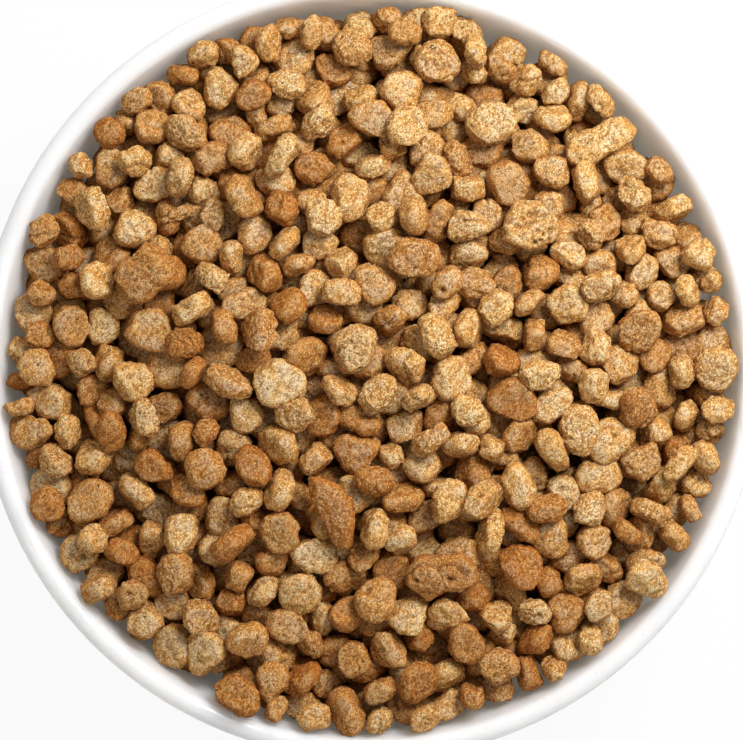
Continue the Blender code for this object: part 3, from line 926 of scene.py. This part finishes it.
# %% Flats, lumps, crumbs, pits and cracks
FACE_FROM = (0.70, 0.92)
FACE_TILT = 0.12
SIDE_FLATS = (5, 9)
SIDE_FROM = (0.80, 0.96)
SIDE_RISE = 0.75
FLAT_HARDNESS = 0.93
LUMP_SIZE = 0.0034
LUMP_HEIGHT = 0.00036
LUMP_MIDDLE = 0.45
CRUMB_SIZE = 0.0010
CRUMB_HEIGHT = 0.00019
NOISE_FADE = 0.7
NOISE_STEP = 2.1
OCTAVES = 2
PIT_SHARE = 0.20
PIT_SIZE = (0.0005, 0.0010)
PIT_DEPTH = (0.0007, 0.0014)
PIT_SHADE = 3.0
CRACK_SHARE = 0.22
CRACK_PLACE = 0.5
CRACK_WIDTH = 0.00034
CRACK_DEPTH = 0.00050
CRACK_WANDER = 0.0006
CRACK_SHADE = 2.0
FAR_APART = 500.0


def random_way(rng, rise=1.0):
    """A random direction. A rise under 1 keeps it nearer to the nugget's rim."""
    way = np.array((rng.gauss(0, 1), rng.gauss(0, 1), rng.gauss(0, rise)))
    return way / math.sqrt(float((way**2).sum()))


def planed(rows, rng):
    """Planes the two faces of a nugget, and a few soft flats round its sides."""
    cuts = [
        (np.array((rng.gauss(0, FACE_TILT), rng.gauss(0, FACE_TILT), up)), rng.uniform(*FACE_FROM))
        for up in (1.0, -1.0)
    ]
    for _ in range(rng.randint(*SIDE_FLATS)):
        cuts.append((random_way(rng, SIDE_RISE), rng.uniform(*SIDE_FROM)))
    for way, share in cuts:
        depth = rows[:, 0] * way[0] + rows[:, 1] * way[1] + rows[:, 2] * way[2]
        over = np.maximum(depth - depth.max() * share, 0.0) * FLAT_HARDNESS
        rows = rows - over[:, None] * way
    return rows


def lumps_over(rows, offset):
    """Round lumps with sharp creases between them, from about -1 to 1 at each row."""
    return 2.0 * np.array([
        noise.turbulence(Vector(row) / LUMP_SIZE + offset, OCTAVES, True)
        for row in rows.tolist()
    ]) - 2.0 * LUMP_MIDDLE


def crumbs_over(rows, offset):
    """Fine crumbs, from about -1 to 1 at each row."""
    return np.array([
        noise.fractal(Vector(row) / CRUMB_SIZE + offset, NOISE_FADE, NOISE_STEP, OCTAVES)
        for row in rows.tolist()
    ])


def crumbled(form, rng, directions, pits, cracks):
    """The crumbly surface, where its crumbs stand out or lie deep, and painted shade in pits and
    cracks.
    """
    rows = planed(shaped(form, directions), rng)
    outwards = rows / np.array(form.half) ** 2
    outwards /= np.sqrt((outwards**2).sum(axis=1))[:, None]
    offset = Vector([rng.uniform(-FAR_APART, FAR_APART) for _ in range(3)])
    lumps = lumps_over(rows, offset)
    crumbs = crumbs_over(rows, offset)
    out = lumps * LUMP_HEIGHT + crumbs * CRUMB_HEIGHT
    for _ in range(pits):
        middle = rows[rng.randrange(len(rows))]
        near = np.sqrt(((rows - middle) ** 2).sum(axis=1)) / rng.uniform(*PIT_SIZE)
        sunk = np.exp(-(near**2))
        out -= rng.uniform(*PIT_DEPTH) * sunk
        # Painted shade: the pit is darkened through the crumbs.
        crumbs -= PIT_SHADE * sunk
    for _ in range(cracks):
        across = rows @ random_way(rng, SIDE_RISE) + lumps * CRACK_WANDER
        middle = rng.uniform(-CRACK_PLACE, CRACK_PLACE) * form.half[1]
        apart = (across - middle) / CRACK_WIDTH
        along = rows @ random_way(rng)
        sunk = np.exp(-(apart**2)) * (along > 0.0)
        out -= CRACK_DEPTH * sunk
        # Painted shade: the crack is darkened through the crumbs.
        crumbs -= CRACK_SHADE * sunk
    return rows + outwards * out[:, None], crumbs


print("a nugget's skin is ready to be pushed about")

# %% [markdown]
# ## The crust
#
# Close up, the crust is toasted flour: brown, with paler crumbs, bright yellow flecks, dark
# pin holes, and patches of pale flour dust. Between the dust patches the orange skin shows.
# The dust is laid only where the skin faces up, so the tops are partly dust and partly painted
# light. The sides are painted orange and the undersides a deep red brown, which is painted
# shade. Two node groups make all that, one for the grain and one for the colour, and the four
# crusts use them with their own values.
#
# Three attributes come with the mesh. Tone says how lightly this nugget was baked, and also
# holds painted light that makes the nuggets paler towards the upper right. Up says how far the
# skin faces up. Stands Out tells the worn ridges, near 1, from the creases, near -1, which are
# painted darker as shade.

# %% The grain of the crust, as a group
PATCH_SCALE = 0.12
HOLE_SCALE = 0.40
GRAIN_ROUGHNESS = 0.8
CRUMB_RISE = 0.5
CRUMB_TINT = 0.40
FLECK_EDGE = (0.60, 0.30)
HOLE_RANGE = (0.30, 0.22)
MOTTLE_RANGE = (0.30, 0.70)
PATCH_RANGE = (0.40, 0.62)
GRAINS = ("Mottle", "Fleck", "Hole", "Cloud")

group, given, result = new_group(
    "crust grain",
    {"Place": ORIGIN, "Crumb Size": 0.0004, "Fleck Share": 0.2},
    dict.fromkeys(("Height", *GRAINS), 0.0),
)
place = given["Place"]
crumb_scale = maths(group, "DIVIDE", 1.0, given["Crumb Size"])
patch_scale = maths(group, "MULTIPLY", crumb_scale, PATCH_SCALE)
hole_scale = maths(group, "MULTIPLY", crumb_scale, HOLE_SCALE)
grain = noise_value(group, place, crumb_scale, detail=3.0, roughness=GRAIN_ROUGHNESS)
patch = noise_value(group, place, patch_scale, detail=3.0)
hole = between(group, noise_value(group, place, hole_scale, detail=1.0), *HOLE_RANGE)
cells = wire(group, "TexVoronoi", {"Vector": place, "Scale": crumb_scale}).outputs
luck, second_luck, _ = wire(group, "SeparateColor", {"Color": cells["Color"]}).outputs
fleck_from = maths(group, "SUBTRACT", 1.0, given["Fleck Share"])
is_fleck = maths(group, "GREATER_THAN", luck, fleck_from)
inside = between(group, cells["Distance"], *FLECK_EDGE)
crumb = maths(group, "SUBTRACT", 1.0, cells["Distance"])
height = maths(group, "ADD", maths(group, "MULTIPLY", crumb, CRUMB_RISE), grain)
speckle = mixed(group, CRUMB_TINT, grain, second_luck, "FLOAT")
connect(group, result, {
    "Height": maths(group, "SUBTRACT", height, hole),
    "Mottle": between(group, speckle, *MOTTLE_RANGE),
    "Fleck": maths(group, "MULTIPLY", is_fleck, inside),
    "Hole": hole,
    "Cloud": between(group, patch, *PATCH_RANGE),
})
CRUST_GRAIN = group
print("group", group.name)

# %% The colour of the crust, as a group
DEEP_BROWN_HOLES_AND_PAINTED_SHADE = (0.110, 0.030, 0.003, 1.0)
TOASTED_BROWN = (0.380, 0.140, 0.016, 1.0)
DARK_BAKE_AND_PAINTED_SHADE = (0.680, 0.480, 0.310, 1.0)
RED_BROWN_PAINTED_SHADE = (0.440, 0.125, 0.010, 1.0)
ORANGE_SKIN_AND_PAINTED_SHADE = (0.740, 0.300, 0.032, 1.0)
FLOUR_DUST_AND_PAINTED_LIGHT = (0.820, 0.650, 0.460, 1.0)
PALE_CRUMB = (0.960, 0.710, 0.340, 1.0)
YELLOW_FLECK = (1.000, 0.850, 0.450, 1.0)
LEAST_DUST_AND_PAINTED_LIGHT = 0.15
FACTS = ("Tone", "Stands Out", "Up")
RANGES = {
    # Painted shade: the side and underside ranges darken skin that faces sideways or down.
    "side": ("Up", 0.92, 0.60),
    "underside": ("Up", 0.68, 0.20),
    "top": ("Up", 0.70, 0.96),
    "ridge": ("Stands Out", 0.10, 0.90),
    # Painted shade: the crease range darkens the creases.
    "crease": ("Stands Out", -0.15, -1.00),
    "bake and painted light": ("Tone", -1.3, 0.7),
}

group, given, result = new_group(
    "crust colour",
    {"Body": WHITE, **dict.fromkeys((*GRAINS, *FACTS), 0.0)},
    {"Color": WHITE},
)
where = {
    name: between(group, given[label], low, high) for name, (label, low, high) in RANGES.items()
}
rubbed = maths(group, "SUBTRACT", 1.0, given["Cloud"])
# The dust lies in patches, but only where the skin faces up, so it is also painted light on the
# tops.
dust_and_painted_light = maths(group, "MULTIPLY", where["top"], maths(group, "ADD", given["Cloud"], LEAST_DUST_AND_PAINTED_LIGHT))
toasted = maths(group, "SUBTRACT", 1.0, given["Mottle"])
colour = laid_over(group, given["Body"], (
    (ORANGE_SKIN_AND_PAINTED_SHADE, rubbed, 0.55),
    # Painted shade: the next two coats make the sides orange and the undersides red brown.
    (ORANGE_SKIN_AND_PAINTED_SHADE, where["side"], 0.80),
    (RED_BROWN_PAINTED_SHADE, where["underside"], 0.85),
    (FLOUR_DUST_AND_PAINTED_LIGHT, dust_and_painted_light, 0.72),
    (PALE_CRUMB, where["ridge"], 0.55),
    # Painted shade: the creases are darkened deep brown.
    (DEEP_BROWN_HOLES_AND_PAINTED_SHADE, where["crease"], 0.70),
    (TOASTED_BROWN, toasted, 0.74),
    (PALE_CRUMB, given["Mottle"], 0.30),
    (YELLOW_FLECK, given["Fleck"], 0.90),
    (DEEP_BROWN_HOLES_AND_PAINTED_SHADE, given["Hole"], 0.70),
))
# Tone is partly a random bake and partly painted light, paler towards the upper right.
bake = mixed(group, where["bake and painted light"], DARK_BAKE_AND_PAINTED_SHADE, WHITE)
connect(group, result, {"Color": mixed(group, 1.0, colour, bake, how="MULTIPLY")})
CRUST_COLOUR = group
print("group", group.name)

# %% The four crusts
# Each crust has a body colour, a size of crumbs and a share of bright flecks.
CRUSTS = {
    "golden crust": ((0.940, 0.570, 0.170, 1.0), 0.00040, 0.22),
    "brown crust": ((0.820, 0.450, 0.120, 1.0), 0.00038, 0.19),
    "dark crust": ((0.580, 0.265, 0.052, 1.0), 0.00042, 0.16),
    "pale crust": ((0.970, 0.730, 0.330, 1.0), 0.00039, 0.24),
}
CRUST_ROUGHNESS = (0.85, 0.58)
CRUST_GLOSS = 0.12
GRAIN_STRENGTH = 1.0
GRAIN_HEIGHT = 0.00040


def crust(name, body, crumb_size, fleck_share):
    """The material of one crust."""
    material, tree, shader = new_material(name)
    place = wire(tree, "TexCoord", {}).outputs["Object"]
    sizes = {"Place": place, "Crumb Size": crumb_size, "Fleck Share": fleck_share}
    grain = wire(tree, "Group", sizes, node_tree=CRUST_GRAIN).outputs
    looks = {"Body": body, **{label: grain[label] for label in GRAINS}}
    for label in FACTS:
        attribute = wire(tree, "Attribute", {}, attribute_name=label.lower())
        looks[label] = attribute.outputs["Fac"]
    connect(tree, shader, {
        "Base Color": wire(tree, "Group", looks, node_tree=CRUST_COLOUR).outputs["Color"],
        "Roughness": spread(tree, grain["Mottle"], *CRUST_ROUGHNESS),
        "Normal": bumped(tree, grain["Height"], GRAIN_STRENGTH, GRAIN_HEIGHT),
        "Specular IOR Level": CRUST_GLOSS,
    })
    return material


crusts = {name: crust(name, *values) for name, values in CRUSTS.items()}
print("crusts:", ", ".join(crusts))

# %% [markdown]
# ## Making the nuggets
#
# Every nugget starts from a ball of even triangles, which has no poles to pinch. Those that
# show have over a thousand faces each, because each is different and seen from close by. The
# ones buried out of sight get fewer. All the nuggets of one crust and one side of the bowl
# are joined in one object, and each loose nugget is an object of its own, in its place in the
# frame. Ridges and creases are found on the finished mesh: it bends more sharply on a ridge
# than a round nugget does, and less or inwards in a crease.

# %% From a nugget to a mesh
TOP_DETAIL = 5
SEEN_DETAIL = 4
HIDDEN_DETAIL = 3
DEEP_DETAIL = 2
HIDDEN_BELOW = 0.36
DIRECTIONS = {detail: sphere_directions(detail) for detail in range(DEEP_DETAIL, TOP_DETAIL + 1)}
PAINTED_LIGHT_TO_UPPER_RIGHT = 0.4
CRUMB_SHARE = 0.35
RIDGE_SHARE = 0.0011
ROUND = 250.0
PITS = {"kibble_pitted": 28, "kibble_clump": 5, "kibble_broken": 6}
CRACKS = {"kibble_pitted": 1, "kibble_clump": 3, "kibble_broken": 2, "kibble_twin_2": 1}


def add_nugget(mesh, columns, nugget, rng, detail, pits=0, cracks=0):
    """Adds a nugget to a mesh, and its attributes to the columns."""
    rows, crumbs = crumbled(nugget.form, rng, DIRECTIONS[detail], pits, cracks)
    rows = rotated(rows, nugget.matrix) + np.array(nugget.place)
    made = bmesh.ops.create_icosphere(mesh, subdivisions=detail, radius=1.0)
    for corner, row in zip(made["verts"], rows.tolist()):
        corner.co = row
    # Painted light: the tone runs paler towards the upper right, where the lamp is, and darker
    # towards the lower left.
    paler = (nugget.place[0] + nugget.place[1]) / MOUTH_RADIUS * PAINTED_LIGHT_TO_UPPER_RIGHT
    columns["tone"].append(np.full(len(rows), rng.uniform(-1.0, 1.0) + paler))
    columns["crumbs"].append(crumbs)


def read(data, name, width, kind=np.float64):
    """Reads one value, or a few, from each item of a mesh's list."""
    values = np.empty(len(data) * width, dtype=kind)
    data.foreach_get(name, values)
    return values.reshape(-1, width)


def ridges(mesh):
    """How sharply the surface bends at each corner, in 1/m: high on a ridge, low in a crease."""
    places, normals = read(mesh.vertices, "co", 3), read(mesh.vertices, "normal", 3)
    first, second = read(mesh.edges, "vertices", 2, np.int32).T
    steps = places[second] - places[first]
    bend, length = np.zeros(len(places)), np.zeros(len(places))
    for start, way in ((first, steps), (second, -steps)):
        np.add.at(bend, start, -(way * normals[start]).sum(axis=1))
        np.add.at(length, start, (way**2).sum(axis=1))
    return 2.0 * bend / length


def finished_food(mesh, columns, name, crust_name):
    """Ends a mesh of nuggets as an object with its attributes, its crust and its body."""
    thing = finished(mesh, name)
    tone, crumbs = (np.concatenate(columns[label]) for label in ("tone", "crumbs"))
    # Low values here darken the creases in the crust colour: painted shade.
    stands_out = crumbs * CRUMB_SHARE + (ridges(thing.data) - ROUND) * RIDGE_SHARE
    up = read(thing.data.vertices, "normal", 3)[:, 2]
    for label, column in (("tone", tone), ("stands out", stands_out), ("up", up)):
        attribute = thing.data.attributes.new(label, "FLOAT", "POINT")
        attribute.data.foreach_set("value", column.astype(np.float32))
    thing.data.materials.append(crusts[crust_name])
    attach(thing, "root")
    return thing


def flaws(nugget, rng):
    """How many pits and cracks a nugget has."""
    pits = PITS.get(nugget.name, int(rng.random() < PIT_SHARE))
    return pits, CRACKS.get(nugget.name, int(rng.random() < CRACK_SHARE))


# %% The loose nuggets
SLOTS = {part["node"]: part["material_slot"] for part in frame["record"]["subparts"]}

rng = random.Random(SEED + 1)
faces = 0
for nugget in loose:
    mesh, columns = bmesh.new(), defaultdict(list)
    add_nugget(mesh, columns, nugget, rng, TOP_DETAIL, *flaws(nugget, rng))
    piece = finished_food(mesh, columns, "loose_" + nugget.name, SLOTS[nugget.name])
    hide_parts(nugget.name)
    faces += len(piece.data.polygons)
print(f"{len(loose)} loose nuggets, {faces} faces")

# %% The nuggets of the bed
CRUST_SHARES = {"golden crust": 0.36, "brown crust": 0.32, "dark crust": 0.14, "pale crust": 0.18}

rng = random.Random(SEED + 2)
bed = {}
for number, nugget in enumerate(heap.nuggets):
    if nugget.name:
        continue
    (name,) = rng.choices(list(CRUST_SHARES), list(CRUST_SHARES.values()))
    side = "left" if nugget.place[0] < 0.0 else "right"
    key = "bed_" + name.split()[0] + "_" + side, name
    mesh, columns = bed.setdefault(key, (bmesh.new(), defaultdict(list)))
    detail = SEEN_DETAIL if heap.seen_share(number) > HIDDEN_BELOW else HIDDEN_DETAIL
    add_nugget(mesh, columns, nugget, rng, detail, *flaws(nugget, rng))
for (piece_name, crust_name), (mesh, columns) in sorted(bed.items(), key=lambda item: item[0]):
    piece = finished_food(mesh, columns, piece_name, crust_name)
    print(piece_name, len(piece.data.polygons), "faces")

# %% [markdown]
# ## What lies deeper
#
# Here and there the eye looks down a gap between the nuggets. A second layer lies there: the
# same heap, turned about the axis and let down. It has few faces, since it is only ever seen
# as something brown in the dark, and its colour is pushed towards the dark creases, which is
# painted shade. Below it, a plain turned core fills the rest of the bowl, painted as dark as a
# crease all over, which is painted shade too.

# %% The second layer and the core
LET_DOWN = 0.0095
LAYER_TURN = math.radians(137)
ROOM_TAKEN = 1.1
DEEP_SHADE = 2.0
CORE_DEPTH = 0.0165
CORE_STEPS = 48
CORE_LINE_STEPS = 10

wall_radii, wall_heights = zip(*wall_face(GAP, WALL_STEPS_FINE))
rng = random.Random(SEED + 3)
mesh, columns = bmesh.new(), defaultdict(list)
spin = Matrix.Rotation(LAYER_TURN, 3, "Z")
count = 0
for nugget in heap.nuggets:
    place = spin @ Vector(nugget.place) - Vector((0.0, 0.0, LET_DOWN))
    room = np.interp(place.z - nugget.form.half[0], wall_heights, wall_radii)
    if math.hypot(place.x, place.y) + nugget.form.half[0] * ROOM_TAKEN > room:
        continue
    first = len(mesh.verts)
    add_nugget(mesh, columns, nugget, rng, DEEP_DETAIL)
    # Painted shade: the second layer is darkened towards the crease colour.
    columns["crumbs"][-1] -= DEEP_SHADE
    mesh.verts.ensure_lookup_table()
    moved = mesh.verts[first:]
    bmesh.ops.rotate(mesh, verts=moved, cent=ORIGIN, matrix=spin)
    bmesh.ops.translate(mesh, verts=moved, vec=(0.0, 0.0, -LET_DOWN))
    count += 1
finished_food(mesh, columns, "bed_second_layer", "brown crust")
print(f"second layer: {count} nuggets")

walls = [
    (radius, height) for radius, height in reversed(wall_face(2 * GAP, WALL_STEPS_FINE))
    if height < dome(radius) - CORE_DEPTH - GAP
]
radii = [MOUTH_RADIUS * step / CORE_LINE_STEPS for step in range(CORE_LINE_STEPS)]
top = [(radius, dome(radius) - CORE_DEPTH) for radius in radii if radius < walls[0][0] - GAP]
core = turned("bed_core", [*top, *walls, (0.0, FLOOR_LEVEL + 2 * GAP)], CORE_STEPS)
# Painted shade: the core is coloured as a deep crease all over.
attribute = core.data.attributes.new("stands out", "FLOAT", "POINT")
attribute.data.foreach_set("value", np.full(len(core.data.vertices), -1.0))
core.data.materials.append(crusts["dark crust"])
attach(core, "root")
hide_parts("kibble_bed")
print(f"the core has {len(core.data.polygons)} faces")

# %% [markdown]
# ## Counting the faces
#
# The last line counts the faces of every piece that shows.

# %% Count the faces
total = sum(len(thing.data.polygons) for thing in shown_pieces() if thing.type == "MESH")
print("faces in all:", total)
